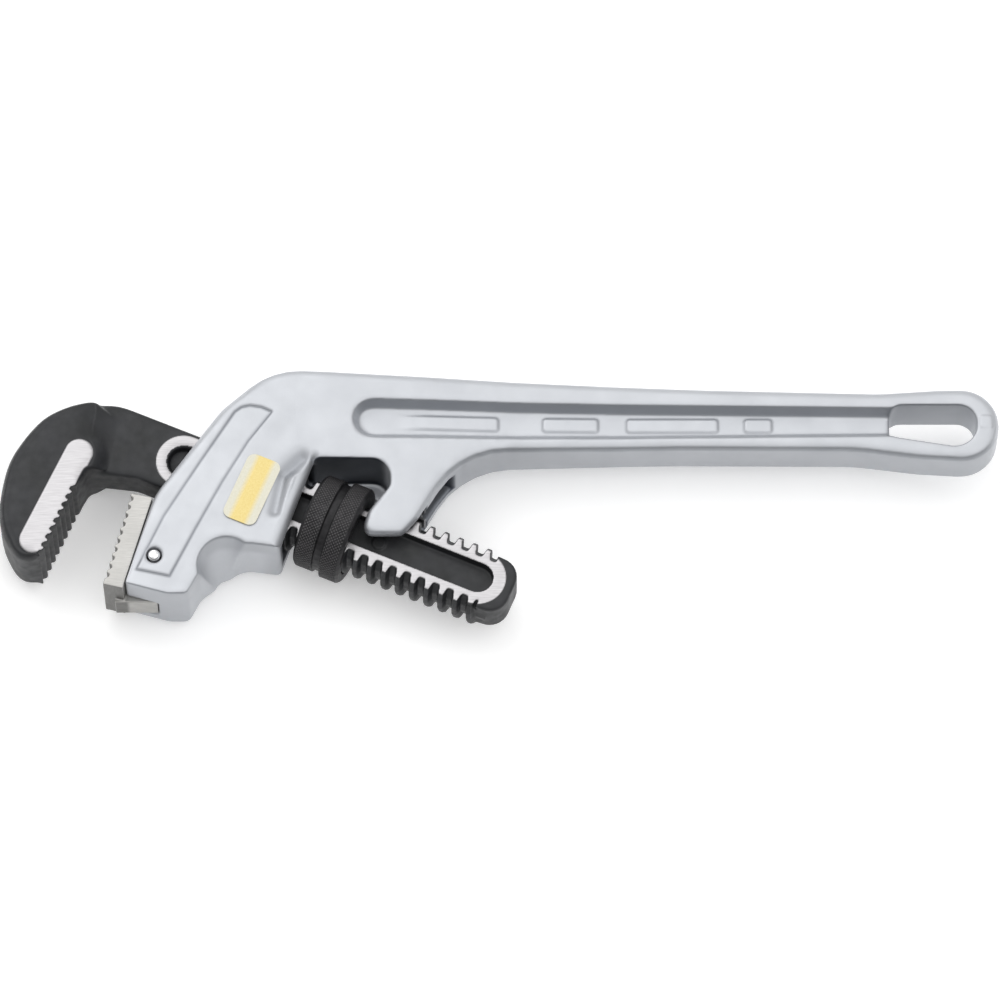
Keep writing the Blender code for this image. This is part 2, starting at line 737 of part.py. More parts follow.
def coil_spring(finish):
    """Compression spring between the leaf and the roof of its chamber."""
    low = LEAF_BOTTOM + LEAF_THICKNESS + PIECE_GAP + COIL_WIRE
    high = CHAMBER_TOP - PIECE_GAP - COIL_WIRE
    steps = int(COIL_TURNS * 14)
    sides = 6
    bm = bmesh.new()
    rings = []
    for i in range(steps + 1):
        share = i / steps
        angle = 2.0 * math.pi * COIL_TURNS * share
        radial = ALONG * math.cos(angle) + Vector((0.0, 0.0, 1.0)) * math.sin(angle)
        middle = ALONG * COIL_CENTRE + ACROSS * (low + (high - low) * share) + radial * COIL_RADIUS
        ring = []
        for k in range(sides):
            swing = 2.0 * math.pi * k / sides
            around = radial * math.cos(swing) + ACROSS * math.sin(swing)
            ring.append(bm.verts.new(middle + around * COIL_WIRE))
        rings.append(ring)
    skin(bm, rings)
    return new_object("coil_spring", bm, finish)


def label(finish):
    half_long, half_wide = LABEL_LENGTH / 2.0, LABEL_WIDTH / 2.0
    centre = Vector((*LABEL_CENTRE, 0.0))
    corners = []
    for a, b in ((-1, -1), (1, -1), (1, 1), (-1, 1)):
        place = centre + ALONG * (a * half_wide) + ACROSS * (b * half_long)
        corners.append((place.x, place.y, LABEL_CORNER, 0.0))
    low = HEAD_HALF + PIECE_GAP
    return new_object("label", slab(rounded(corners), low, low + LABEL_THICKNESS), finish)


def place_on_origin(pieces):
    """Hangs every piece on one empty and moves it so that the bounding box stands on the origin."""
    low = Vector((math.inf,) * 3)
    high = Vector((-math.inf,) * 3)
    for piece in pieces:
        for vert in piece.data.vertices:
            low = Vector(map(min, low, vert.co))
            high = Vector(map(max, high, vert.co))
    root = bpy.data.objects.new("wrench_root", None)
    bpy.context.scene.collection.objects.link(root)
    root.location = (-(low.x + high.x) / 2.0, -(low.y + high.y) / 2.0, -low.z)
    rock = bpy.data.objects.new("rock_axis", None)
    bpy.context.scene.collection.objects.link(rock)
    rock.parent = root
    for piece in pieces:
        moving = piece.name in ("hook_jaw", "adjusting_nut", "flat_spring", "spring_rivet")
        piece.parent = rock if moving else root
        piece.data.set_sharp_from_angle(angle=math.radians(35.0))


def main():
    clear_scene()
    aluminium = material("cast_aluminium", (0.62, 0.64, 0.67), 0.42, 1.0)
    black_forging = material("black_forging", (0.035, 0.037, 0.040), 0.45, 0.2)
    nut_steel = material("nut_steel", (0.045, 0.043, 0.042), 0.5, 0.6)
    jaw_steel = material("jaw_steel", (0.62, 0.60, 0.56), 0.4, 0.9)
    pin_steel = material("pin_steel", (0.75, 0.75, 0.76), 0.25, 1.0)
    coil_steel = material("coil_steel", (0.30, 0.30, 0.32), 0.35, 1.0)
    leaf_steel = material("leaf_steel", (0.18, 0.18, 0.20), 0.4, 1.0)
    rivet_steel = material("rivet_steel", (0.40, 0.40, 0.41), 0.35, 1.0)
    label_film = material("label_film", (0.90, 0.84, 0.58), 0.5, 0.0)
    pieces = [
        handle_housing(aluminium),
        hook_jaw(black_forging),
        adjusting_nut(nut_steel),
        heel_jaw(jaw_steel),
        heel_jaw_pin(pin_steel),
        coil_spring(coil_steel),
        flat_spring(leaf_steel),
        spring_rivet(rivet_steel),
        label(label_film),
    ]
    place_on_origin(pieces)


main()
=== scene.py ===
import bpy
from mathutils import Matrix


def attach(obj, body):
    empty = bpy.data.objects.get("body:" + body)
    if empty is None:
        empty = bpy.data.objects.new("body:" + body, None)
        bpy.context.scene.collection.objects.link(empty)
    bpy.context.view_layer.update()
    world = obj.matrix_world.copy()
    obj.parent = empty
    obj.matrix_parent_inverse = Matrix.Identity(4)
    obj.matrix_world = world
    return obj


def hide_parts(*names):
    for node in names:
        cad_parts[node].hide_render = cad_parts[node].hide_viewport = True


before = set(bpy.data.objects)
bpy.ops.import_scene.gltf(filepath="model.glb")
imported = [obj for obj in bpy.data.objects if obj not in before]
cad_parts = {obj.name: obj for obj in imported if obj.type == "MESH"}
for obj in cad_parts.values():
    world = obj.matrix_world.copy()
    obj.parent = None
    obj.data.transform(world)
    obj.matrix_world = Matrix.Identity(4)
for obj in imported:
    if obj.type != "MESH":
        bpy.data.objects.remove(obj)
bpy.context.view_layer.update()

"""Looks of the aluminium pipe wrench.

The big pieces start as copies of their CAD meshes, remeshed finely. Their edges are then softened and
their cast, ground and knurled detail is raised on them, so the size stays that of the CAD model.
Small pieces keep their CAD meshes and get materials and a fine bevel.
Lengths below are millimetres in the layout of the part: x, y from the middle of the nut, s along
the screw axis, t across it, and z from the middle plane of the head.
"""

import math

import bpy
import numpy as np
from mathutils import Vector

MM = 0.001
LAYOUT_ORIGIN = np.array((-54.8461, -9.5319, 16.6))
TILT = math.radians(-23.0)
ALONG = np.array((math.cos(TILT), math.sin(TILT)))
ACROSS = np.array((-math.sin(TILT), math.cos(TILT)))

# Sizes that the looks share with the CAD model.
HEAD_HALF = 13.5
JAW_HALF = 13.0
SHANK_HALF = 7.3
NUT_RADIUS = 16.6
NUT_STEP = 0.7
NUT_HALF_LENGTH = 8.25
NUT_GROOVE_HALF = 1.5
CHANNEL_ENDS = (-53.8, 51.6)
CHANNEL_HALF_WIDTH = 5.0
THREAD_START = -25.9
TOOTH_ROOT_S = -83.2
PANEL_FLOOR_Y = 34.4
LABEL_CENTRE = np.array((-26.7, 8.2))
LABEL_STRIPE_HALF = (2.0, 3.8)

# Detail cast on the head and the handle, as x, y or as a distance.
PAD_OUTLINE = [
    (-32.6, 36.0), (-30.4, 37.6), (-27.7, 38.2), (-24.0, 37.6), (-20.5, 36.0), (-28.2, 25.6),
    (-36.6, 11.0), (-45.2, -5.6), (-53.3, -22.0), (-64.3, -19.6), (-55.6, -1.0), (-43.6, 18.6),
]
PAD_RISE_Y = (-22.0, 0.0, 38.0)
PAD_RISE = (-0.55, -0.15, 0.55)
PAD_LINE_WIDTH = 0.45
PAD_LINE_DEPTH = 0.22
RIB = ((-12.6, 12.5), (-15.6, -8.0))
POCKET = ((-10.6, 19.6), (-14.2, 16.0))
HOLLOW = ((-16.6, 13.5), (-19.2, 1.0))
RIB_WIDTH, POCKET_WIDTH, HOLLOW_WIDTH = 2.0, 2.7, 1.9
RIB_RISE, POCKET_DEPTH, HOLLOW_DEPTH = 0.7, 1.7, 1.3
PLAQUES = ((19.1, 54.1), (69.0, 87.1), (96.7, 126.7), (135.6, 144.5))
PLAQUE_HALF_HEIGHT = 2.25
PLAQUE_CORNER = 1.0
PLAQUE_RISE = 0.6
END_BAND = (215.4, 34.3)
END_BAND_HALF = (2.1, 2.2)
END_BAND_RISE = 0.35
NECK_EDGE = ((-17.65, -11.9), (-6.45, 19.8))
NECK_EDGE_RADIUS = 3.4

# Detail forged and ground on the hook jaw, as s, t unless named otherwise.
HOOK_CENTRE = (-80.0, 8.0)
HOOK_SHARE_START = (62.0, 84.0)
HOOK_SHARE_END = (226.0, 206.0)
HOOK_WINDOW = 24
HOOK_WINDOW_WIDTH = 9.0
SHOULDER_XY = (-77.0, 39.0)
SHOULDER_LINE_X = -74.3
SHOULDER_LINE_Y = 17.6
SHOULDER_SLOPE = 0.16
SHOULDER_RUN = (-1.0, 13.0)
JAW_PAD = ((-85.7, -12.5), (-86.9, -46.5))
JAW_PAD_DROP = 0.45
RIM_WIDTH = 9.0
BOSS = (16.4, -0.3)
BOSS_RISE = 0.5

# Knurling of the nut.
KNURL_PITCH = 1.25
KNURL_DEPTH = 0.34

TANG_START_X = (-68.0, -66.5)

# Studio, in metres but for the camera's target, which is x, y in the layout.
BRIGHT_SIDE = (0.0, 0.25, 0.97)
FLOOR_HALF = 6.0
FLOOR_DROP = 0.0005
LIGHT_TARGET = (0.0, 0.0, 0.015)
CAMERA_TARGET = (54.8, 10.1)
CAMERA_TILT = math.radians(22.0)
CAMERA_DISTANCE = 2.7
CAMERA_LENS = 294.5

VOXEL = {"handle_housing": 0.45, "hook_jaw": 0.30, "adjusting_nut": 0.20, "heel_jaw": 0.25}


# ---------------------------------------------------------------- mesh tools


class Surface:
    """Vertices of a fine mesh in layout millimetres, with neighbours for smoothing."""

    def __init__(self, obj):
        self.mesh = obj.data
        count = len(self.mesh.vertices)
        flat = np.empty(count * 3)
        self.mesh.vertices.foreach_get("co", flat)
        self.points = flat.reshape(-1, 3) / MM - LAYOUT_ORIGIN
        edges = np.empty(len(self.mesh.edges) * 2, dtype=np.int64)
        self.mesh.edges.foreach_get("vertices", edges)
        self.edges = edges.reshape(-1, 2)
        self.degree = np.maximum(np.bincount(edges, minlength=count), 1)
        self.count = count

    def average(self, values):
        a, b = self.edges.T
        summed = np.bincount(a, values[b], self.count) + np.bincount(b, values[a], self.count)
        return summed / self.degree

    def smooth(self, rounds, strength):
        """Moves each vertex towards the mean of its neighbours, by a share for each vertex."""
        for _ in range(rounds):
            mean = np.stack([self.average(self.points[:, k]) for k in range(3)], axis=1)
            self.points += (mean - self.points) * strength[:, None]

    def normals(self):
        self.write()
        found = np.empty(self.count * 3)
        self.mesh.vertices.foreach_get("normal", found)
        return found.reshape(-1, 3)

    def write(self):
        self.mesh.vertices.foreach_set("co", ((self.points + LAYOUT_ORIGIN) * MM).ravel())
        self.mesh.update()

    def paint(self, name, values):
        layer = self.mesh.attributes.new(name, "FLOAT", "POINT")
        layer.data.foreach_set("value", values.astype(np.float32))


def refined(node_name, name):
    """Fine even copy of a CAD node."""
    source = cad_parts[node_name]
    obj = bpy.data.objects.new(name, source.data.copy())
    bpy.context.scene.collection.objects.link(obj)
    remesh = obj.modifiers.new("fine", "REMESH")
    remesh.mode = "VOXEL"
    remesh.voxel_size = VOXEL[node_name] * MM * 1.0
    graph = bpy.context.evaluated_depsgraph_get()
    fine = bpy.data.meshes.new_from_object(obj.evaluated_get(graph))
    obj.modifiers.clear()
    obj.data = fine
    fine.materials.clear()
    fine.shade_smooth()
    return obj, Surface(obj)


def step(edge0, edge1, value):
    share = np.clip((value - edge0) / (edge1 - edge0), 0.0, 1.0)
    return share * share * (3.0 - 2.0 * share)


def screw_frame(points):
    """s and t of layout points."""
    return points[:, :2] @ ALONG, points[:, :2] @ ACROSS


def segment_distance(x, y, start, end):
    (sx, sy), (ex, ey) = start, end
    dx, dy = ex - sx, ey - sy
    share = np.clip(((x - sx) * dx + (y - sy) * dy) / (dx * dx + dy * dy), 0.0, 1.0)
    return np.hypot(x - sx - share * dx, y - sy - share * dy), share


def outline_distance(x, y, corners):
    """Signed distance to a closed outline, negative inside."""
    nearest = np.full(len(x), np.inf)
    inside = np.zeros(len(x), dtype=bool)
    for (ax, ay), (bx, by) in zip(corners, corners[1:] + corners[:1]):
        nearest = np.minimum(nearest, segment_distance(x, y, (ax, ay), (bx, by))[0])
        crosses = (ay > y) != (by > y)
        with np.errstate(divide="ignore", invalid="ignore"):
            at = ax + (y - ay) * (bx - ax) / (by - ay)
        inside ^= crosses & (x < at)
    return np.where(inside, -nearest, nearest)


def box_distance(x, y, centre_x, centre_y, half_x, half_y, corner):
    """Signed distance to an upright rounded rectangle."""
    dx = np.abs(x - centre_x) - half_x + corner
    dy = np.abs(y - centre_y) - half_y + corner
    outside = np.hypot(np.maximum(dx, 0.0), np.maximum(dy, 0.0))
    return outside + np.minimum(np.maximum(dx, dy), 0.0) - corner


# ---------------------------------------------------------------- materials


class Nodes:
    """Short forms for building a node tree."""

    def __init__(self, name, **values):
        self.material = bpy.data.materials.new(name)
        self.material.use_nodes = True
        self.tree = self.material.node_tree
        self.shader = self.tree.nodes["Principled BSDF"]
        for socket, value in values.items():
            self.shader.inputs[socket.replace("_", " ")].default_value = value
        self.place = self.tree.nodes.new("ShaderNodeTexCoord").outputs["Object"]

    def link(self, output, target):
        self.tree.links.new(output, target)

    def noise(self, scale, detail=3.0, roughness=0.5, vector=None):
        node = self.tree.nodes.new("ShaderNodeTexNoise")
        node.inputs["Scale"].default_value = scale
        node.inputs["Detail"].default_value = detail
        node.inputs["Roughness"].default_value = roughness
        self.link(vector or self.place, node.inputs["Vector"])
        return node.outputs["Fac"]

    def stretched(self, scale, turn=0.0):
        """Object coordinates turned about Z, then scaled, for grain that runs one way."""
        node = self.tree.nodes.new("ShaderNodeMapping")
        node.vector_type = "POINT"
        node.inputs["Rotation"].default_value = (0.0, 0.0, turn)
        node.inputs["Scale"].default_value = scale
        self.link(self.place, node.inputs["Vector"])
        return node.outputs["Vector"]

    def attribute(self, name):
        node = self.tree.nodes.new("ShaderNodeAttribute")
        node.attribute_name = name
        return node.outputs["Fac"]

    def ramp(self, value, low, high, low_at=0.0, high_at=1.0):
        """Maps a value to a number or a colour."""
        if isinstance(low, tuple):
            node = self.tree.nodes.new("ShaderNodeValToRGB")
            ends = zip(node.color_ramp.elements, (low_at, high_at), (low, high))
            for element, position, colour in ends:
                element.position = position
                element.color = (*colour, 1.0)
            self.link(value, node.inputs["Fac"])
            return node.outputs["Color"]
        node = self.tree.nodes.new("ShaderNodeMapRange")
        node.inputs["From Min"].default_value = low_at
        node.inputs["From Max"].default_value = high_at
        node.inputs["To Min"].default_value = low
        node.inputs["To Max"].default_value = high
        self.link(value, node.inputs["Value"])
        return node.outputs["Result"]

    def mix(self, share, first, second):
        """Mixes two colours, each a socket or a tuple."""
        node = self.tree.nodes.new("ShaderNodeMix")
        node.data_type = "RGBA"
        self.link(share, node.inputs["Factor"])
        for socket, colour in (("A", first), ("B", second)):
            target = [i for i in node.inputs if i.name == socket and i.type == "RGBA"][0]
            if isinstance(colour, tuple):
                target.default_value = (*colour, 1.0)
            else:
                self.link(colour, target)
        return [o for o in node.outputs if o.type == "RGBA"][0]

    def blend(self, share, first, second):
        """Mixes the numbers of two sockets."""
        node = self.tree.nodes.new("ShaderNodeMix")
        node.data_type = "FLOAT"
        self.link(share, node.inputs["Factor"])
        self.link(first, node.inputs[2])
        self.link(second, node.inputs[3])
        return node.outputs[0]

    def colour(self, output):
        self.link(output, self.shader.inputs["Base Color"])

    def roughness(self, output):
        self.link(output, self.shader.inputs["Roughness"])

    def bump(self, *heights):
        """Chains bumps, each (height output, depth in millimetres, strength)."""
        normal = None
        for height, depth, strength in heights:
            node = self.tree.nodes.new("ShaderNodeBump")
            node.inputs["Distance"].default_value = depth * MM
            node.inputs["Strength"].default_value = strength
            self.link(height, node.inputs["Height"])
            if normal:
                self.link(normal, node.inputs["Normal"])
            normal = node.outputs["Normal"]
        self.link(normal, self.shader.inputs["Normal"])


def cast_aluminium():
    """Fine-cast alloy with a soft sheen, darker where shade is painted on from the mesh."""
    made = Nodes("cast_aluminium", Metallic=0.72)
    mottle = made.noise(55.0, 4.0, 0.6)
    base = made.ramp(mottle, (0.50, 0.515, 0.542), (0.53, 0.545, 0.572), 0.35, 0.65)
    # Painted shade: the mesh attribute mixes the base towards a dark blue-grey.
    made.colour(made.mix(made.attribute("painted_shade"), base, (0.075, 0.085, 0.105)))
    made.roughness(made.ramp(made.noise(160.0, 3.0), 0.44, 0.52, 0.3, 0.7))
    grain = made.noise(2600.0, 3.0, 0.6)
    pits = made.noise(900.0, 2.0, 0.5)
    made.bump((pits, 0.05, 0.35), (grain, 0.03, 0.45))
    return made.material


def forged_black():
    """Satin black over forged skin, with ground faces bright."""
    made = Nodes("black_forging")
    ground = made.attribute("ground")
    mottle = made.noise(90.0, 4.0, 0.6)
    skin = made.ramp(mottle, (0.010, 0.011, 0.012), (0.019, 0.020, 0.023), 0.35, 0.65)
    grind = made.noise(1.0, 3.0, 0.5, made.stretched((180.0, 4200.0, 400.0), -TILT))
    bright = made.ramp(grind, (0.42, 0.41, 0.42), (0.58, 0.57, 0.58), 0.3, 0.7)
    made.colour(made.mix(ground, skin, bright))
    made.link(made.ramp(ground, 0.15, 0.85), made.shader.inputs["Metallic"])
    dull_and_painted_shade = made.ramp(made.noise(300.0, 3.0), 0.42, 0.58, 0.3, 0.7)
    made.roughness(made.blend(ground, dull_and_painted_shade, made.ramp(grind, 0.34, 0.48, 0.3, 0.7)))
    made.bump((made.noise(1500.0, 3.0, 0.55), 0.05, 0.4), (grind, 0.01, 0.25))
    return made.material


def knurled_steel():
    """Black oxide, with a painted highlight on the crests of the knurling."""
    made = Nodes("nut_steel", Metallic=0.55)
    crest_highlight = made.attribute("crest")
    mottle = made.noise(400.0, 3.0)
    base = made.ramp(mottle, (0.012, 0.012, 0.013), (0.026, 0.025, 0.027), 0.35, 0.65)
    # Painted highlight: lighter grey on the knurl crests.
    made.colour(made.mix(crest_highlight, base, (0.085, 0.082, 0.084)))
    made.roughness(made.ramp(made.noise(700.0, 2.0), 0.38, 0.52, 0.3, 0.7))
    made.bump((made.noise(3500.0, 2.0), 0.015, 0.3))
    return made.material


def machined_steel(name, low, high, roughness, turn):
    """Steel with fine grain that runs one way, darker where shade is painted on from the mesh."""
    made = Nodes(name, Metallic=0.85)
    grain = made.noise(1.0, 3.0, 0.6, made.stretched((260.0, 5200.0, 420.0), turn))
    cloud = made.noise(70.0, 3.0)
    lines = made.ramp(grain, low, high, 0.3, 0.7)
    colour = made.mix(made.ramp(cloud, 0.0, 0.5, 0.35, 0.65), lines, low)
    # Painted shade colour, mixed in where the mesh carries painted shade.
    dark = tuple(0.4 * value for value in low)
    made.colour(made.mix(made.attribute("dull_and_painted_shade"), colour, dark))
    made.roughness(made.ramp(grain, roughness - 0.06, roughness + 0.08, 0.3, 0.7))
    made.bump((grain, 0.008, 0.3))
    return made.material


def label_film():
    """Blank printed film: cream, with a yellow stripe down its middle."""
    made = Nodes("label_film", Specular_IOR_Level=0.35)
    centre = Vector((*(LABEL_CENTRE + LAYOUT_ORIGIN[:2]) * MM, 0.0))
    shift = made.tree.nodes.new("ShaderNodeVectorMath")
    shift.operation = "SUBTRACT"
    made.link(made.place, shift.inputs[0])
    shift.inputs[1].default_value = centre
    across = made.tree.nodes.new("ShaderNodeVectorMath")
    across.operation = "DOT_PRODUCT"
    made.link(shift.outputs[0], across.inputs[0])
    across.inputs[1].default_value = (*ALONG, 0.0)
    distance = made.tree.nodes.new("ShaderNodeMath")
    distance.operation = "ABSOLUTE"
    made.link(across.outputs["Value"], distance.inputs[0])
    inner, outer = LABEL_STRIPE_HALF
    stripe = made.ramp(distance.outputs[0], 1.0, 0.0, inner * MM, outer * MM)
    print_grain = made.noise(1800.0, 2.0)
    cream = made.ramp(print_grain, (0.66, 0.64, 0.52), (0.72, 0.70, 0.59), 0.3, 0.7)
    yellow = made.ramp(print_grain, (0.76, 0.60, 0.22), (0.82, 0.67, 0.28), 0.3, 0.7)
    made.colour(made.mix(stripe, cream, yellow))
    made.roughness(made.ramp(made.noise(240.0, 2.0), 0.38, 0.5, 0.3, 0.7))
    made.bump((print_grain, 0.01, 0.2))
    return made.material


def floor_paint():
    """Pale floor with a faint glow, so that the shadow stays soft."""
    made = Nodes("pale_floor", Roughness=0.8, Emission_Strength=0.22)
    made.shader.inputs["Base Color"].default_value = (0.93, 0.93, 0.93, 1.0)
    made.shader.inputs["Emission Color"].default_value = (1.0, 1.0, 1.0, 1.0)
    made.bump((made.noise(400.0, 2.0), 0.02, 0.1))
    return made.material


# ---------------------------------------------------------------- pieces


def bell(distance, width):
    """1 on a line, falling off smoothly to both sides."""
    return np.exp(-((distance / width) ** 2))


def pad_relief(x, y, outer):
    """Lift of the pad over the channel, sunk at its top and proud at its bottom, and painted shade
    along its outline.
    """
    from_pad = outline_distance(x, y, PAD_OUTLINE)
    rise = np.interp(y, PAD_RISE_Y, PAD_RISE)
    near = step(9.0, 1.5, from_pad)
    line = bell(from_pad, PAD_LINE_WIDTH)
    lift = outer * rise * near * step(-0.25, 0.45, from_pad) - outer * PAD_LINE_DEPTH * line
    # The second value is painted shade along the pad's outline.
    return lift, outer * 0.62 * line


def rib_relief(x, y, outer):
    """Lift of the rib beside the window and of the hollow round it, and painted shade in the pocket and
    the hollow.
    """
    rib = bell(segment_distance(x, y, *RIB)[0], RIB_WIDTH)
    pocket = bell(segment_distance(x, y, *POCKET)[0], POCKET_WIDTH)
    hollow = bell(segment_distance(x, y, *HOLLOW)[0], HOLLOW_WIDTH)
    lift = outer * (RIB_RISE * rib - POCKET_DEPTH * pocket - HOLLOW_DEPTH * hollow)
    # The second value is painted shade in the pocket and the hollow.
    return lift, outer * (0.42 * pocket + 0.25 * hollow)


def plaque_relief(x, y, z, facing):
    """Lift of the blank plaques on the floor of the panel, on both sides, and painted shade round their
    edges.
    """
    panel = (np.abs(y - PANEL_FLOOR_Y) < 6.0) * (x > 8.0) * (x < 190.0)
    floor = facing * step(8.2, 7.6, np.abs(z)) * panel
    lift = np.zeros(len(x))
    painted_shade = np.zeros(len(x))
    for left, right in PLAQUES:
        middle, half = (left + right) / 2.0, (right - left) / 2.0
        edge = box_distance(x, y, middle, PANEL_FLOOR_Y, half, PLAQUE_HALF_HEIGHT, PLAQUE_CORNER)
        lift += floor * PLAQUE_RISE * step(0.35, -0.35, edge) * np.sign(z)
        # Painted shade in the crease just outside each plaque's edge.
        painted_shade += floor * 0.35 * bell(edge - 0.4, 0.35)
    return lift, painted_shade


def end_band_relief(x, y, z, facing):
    """Lift of the small band on the rim beyond the hanging hole."""
    edge = box_distance(x, y, *END_BAND, *END_BAND_HALF, 0.8)
    return facing * (z > 7.0) * END_BAND_RISE * step(0.3, -0.3, edge)


def painted_casting_shade(skin, normal, s, t):
    """Painted shade in the passage and chamber, at the window top, on under sides and along the lower
    front edges.
    """
    x, y, z = skin.points.T
    inside_passage = np.maximum(np.abs(t) - 16.2, np.abs(z) - 8.6)
    chamber_ends = np.maximum(np.abs(z) - 5.6, np.abs(s - 32.0) - 16.0)
    inside_chamber = np.maximum(np.abs(t - 20.0) - 11.0, chamber_ends)
    # Painted shade inside the passage and the chamber, left of x 45.
    shaded = step(0.5, -0.3, np.minimum(inside_passage, inside_chamber)) * (x < 45.0)
    # Painted shade on the top wall of the window.
    window_band = step(14.0, 18.5, y) * step(22.5, 21.5, y) * (np.abs(x - 5.0) < 15.0)
    window_top = step(0.5, 0.9, -normal[:, 1]) * window_band
    # Painted shade on faces turned to -Y, kept off the scoop below the head.
    under = step(0.3, 0.9, -normal[:, 1])
    scoop = step(15.0, 9.0, np.abs(x + 34.0)) * step(8.0, 4.0, z) * (y > -26.0)
    # Painted shade along the rounded lower front edges.
    lower_edge = step(0.2, 0.6, -normal[:, 1])
    lower_edge *= step(0.2, 0.4, normal[:, 2]) * step(0.9, 0.7, normal[:, 2])
    return 0.75 * np.maximum(shaded, window_top) + 0.20 * under * (1.0 - scoop) + 0.26 * lower_edge


def round_edge(skin, start, end, radius):
    """Rounds the front edge of a wall that stands on a line, without touching what is further off."""
    away, _ = segment_distance(skin.points[:, 0], skin.points[:, 1], start, end)
    reach = np.clip(radius - away, 0.0, radius)
    ceiling = HEAD_HALF - radius + np.sqrt(radius ** 2 - reach ** 2)
    z = skin.points[:, 2]
    near = (away < radius) & (z > HEAD_HALF - radius)
    skin.points[:, 2] = np.where(near, np.minimum(z, ceiling), z)


def casting(finish):
    """The handle and head: soft cast edges, the ground pad, the rib by the window and blank plaques,
    with painted shade.
    """
    obj, skin = refined("handle_housing", "casting")
    skin.smooth(10, np.full(skin.count, 0.5))
    normal = skin.normals()
    x, y, z = skin.points.T
    s, t = screw_frame(skin.points)
    facing = step(0.75, 0.97, np.abs(normal[:, 2]))
    front = facing * (normal[:, 2] > 0.0)
    outer = step(HEAD_HALF - 2.0, HEAD_HALF - 1.2, z) * front
    reliefs = [pad_relief(x, y, outer), rib_relief(x, y, outer), plaque_relief(x, y, z, facing)]
    # Painted shade from the pad outline, the pocket, the hollow and the plaque edges.
    painted_shade = sum(dark for _, dark in reliefs)
    lift = sum(rise for rise, _ in reliefs) + end_band_relief(x, y, z, facing)
    skin.points[:, 2] += lift
    round_edge(skin, *NECK_EDGE, NECK_EDGE_RADIUS)
    # Painted shade of the passage, chamber, window top, under sides and lower edges.
    painted_shade += painted_casting_shade(skin, normal, s, t)
    skin.paint("painted_shade", np.clip(painted_shade, 0.0, 1.0))
    skin.write()
    dress(obj, finish, "handle", "handle_housing")


def round_outline(skin):
    """Turns the hook's many-sided outer outline into one flowing curve, seen from a point inside it."""
    centre_x, centre_y = HOOK_CENTRE
    dx, dy = skin.points[:, 0] - centre_x, skin.points[:, 1] - centre_y
    angle = np.degrees(np.arctan2(dy, dx)) % 360.0
    radius = np.hypot(dx, dy)
    degrees = np.arange(360)
    on_head = (skin.points[:, :2] @ ALONG) < -58.0
    reach = np.zeros(360)
    np.maximum.at(reach, angle[on_head].astype(int), radius[on_head])
    window = bell(np.arange(-HOOK_WINDOW, HOOK_WINDOW + 1), HOOK_WINDOW_WIDTH)
    flowing = np.convolve(np.pad(reach, HOOK_WINDOW, "wrap"), window / window.sum(), "valid")
    share = step(*HOOK_SHARE_START, degrees) * step(*HOOK_SHARE_END, degrees)
    change = np.where(reach > 0.0, share * (flowing - reach), 0.0)
    edge = np.interp(angle, degrees + 0.5, reach, period=360.0)
    moved = np.interp(angle, degrees + 0.5, change, period=360.0)
    near_edge = step(0.45, 0.9, radius / np.maximum(edge, 1.0))
    stretch = 1.0 + on_head * near_edge * moved / np.maximum(radius, 1.0)
    skin.points[:, 0] = dx * stretch + centre_x
    skin.points[:, 1] = dy * stretch + centre_y


def shape_shoulder(skin, s, pad_away, crisp):
    """Runs the wide head down to the arm, with no crease between them."""
    x, y, z = skin.points.T
    from_shoulder = SHOULDER_LINE_X + SHOULDER_SLOPE * (y - SHOULDER_LINE_Y) - x
    below_head = 1.0 - step(*SHOULDER_RUN, from_shoulder)
    below_pad = 1.0 - step(9.5, 4.4, pad_away)
    ceiling = SHANK_HALF + (JAW_HALF - SHANK_HALF) * (1.0 - below_head * below_pad)
    tall = (s < -62.0) & (np.abs(z) > SHANK_HALF)
    skin.points[:, 2] = np.where(tall, np.sign(z) * np.minimum(np.abs(z), ceiling), z)
    shoulder_x, shoulder_y = SHOULDER_XY
    skin.smooth(50, 0.5 * step(12.0, 5.0, np.hypot(x - shoulder_x, y - shoulder_y)))
    outline = skin.points[:, :2].copy()
    skin.smooth(60, 0.5 * (1.0 - crisp))
    skin.points[:, :2] = outline


def channel_rim(s, t, z):
    """Where the rim of the channel is ground bright: all round it, out to the thread."""
    start, end = CHANNEL_ENDS
    away, _ = segment_distance(s, t, (start, 0.0), (end, 0.0))
    outside = step(CHANNEL_HALF_WIDTH - 0.2, CHANNEL_HALF_WIDTH + 0.1, away)
    plain = step(RIM_WIDTH + 0.2, RIM_WIDTH - 0.1, away)
    threaded = step(RIM_WIDTH + 0.4, RIM_WIDTH + 0.1, away * (s > 52.0))
    level = np.abs(z) > SHANK_HALF - 0.35
    return outside * np.where(s < THREAD_START, plain, threaded) * level * (s > -64.0)


